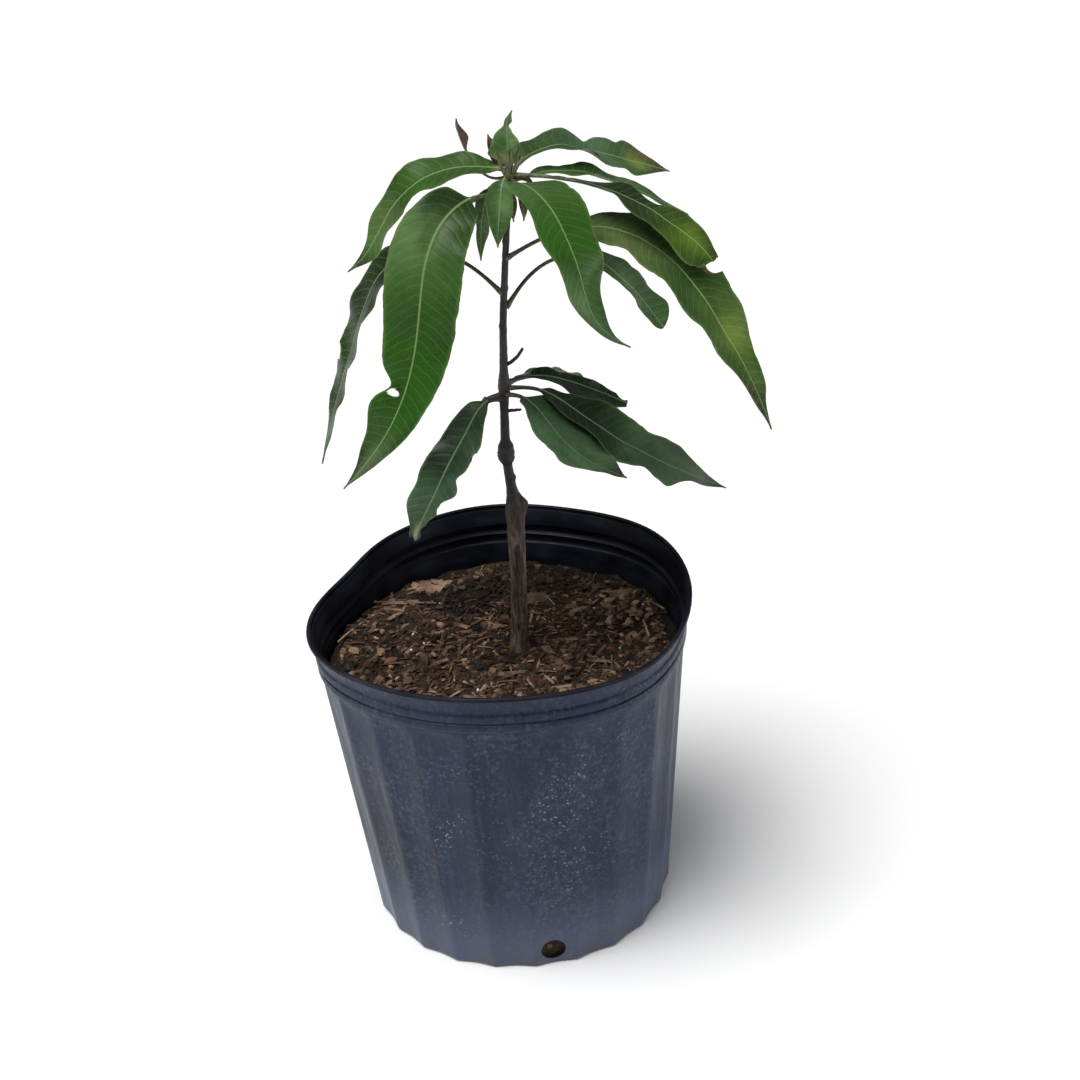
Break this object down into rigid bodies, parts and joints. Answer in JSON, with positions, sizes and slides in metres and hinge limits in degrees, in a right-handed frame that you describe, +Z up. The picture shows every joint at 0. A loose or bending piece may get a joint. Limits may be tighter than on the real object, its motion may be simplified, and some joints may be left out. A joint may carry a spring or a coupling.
{
  "type": "potted mango sapling",
  "caption": "Young grafted mango tree with long drooping leaves on a thin leaning stem, standing in a round fluted plastic nursery pot filled with potting mix.",
  "frame": {"origin": "centre of the pot's flat underside", "axes": "+Z up, -Y towards the side that the plant is seen from, +X to the right of that view"},
  "size_m": [0.3209, 0.2873, 0.5915],
  "materials": {
    "pot": "satin",
    "soil": "rough",
    "bark": "rough",
    "leaf_upper": "satin",
    "leaf_lower": "satin",
    "leaf_young": "satin"
  },
  "bodies": {
    "root": {"pot": "pot", "soil": "soil", "trunk": "bark", "upper_leaf_left": "leaf_upper", "upper_leaf_front_left": "leaf_upper", "upper_leaf_front": "leaf_upper", "upper_leaf_front_right": "leaf_upper", "upper_leaf_right": "leaf_upper", "upper_leaf_back_right": "leaf_upper", "upper_leaf_back": "leaf_upper", "upper_leaf_back_left": "leaf_upper", "middle_leaf_left": "leaf_upper", "middle_leaf_front_right": "leaf_upper", "middle_leaf_right": "leaf_upper", "lower_leaf_front_left": "leaf_lower", "lower_leaf_front": "leaf_lower", "lower_leaf_right": "leaf_lower", "lower_leaf_back_right": "leaf_lower", "lower_leaf_back": "leaf_lower", "lower_leaf_back_left": "leaf_lower", "young_leaf_upright_front": "leaf_young", "young_leaf_upright_back": "leaf_young", "young_leaf_limp_front": "leaf_young", "young_leaf_limp_left": "leaf_young"}
  },
  "joints": []
}
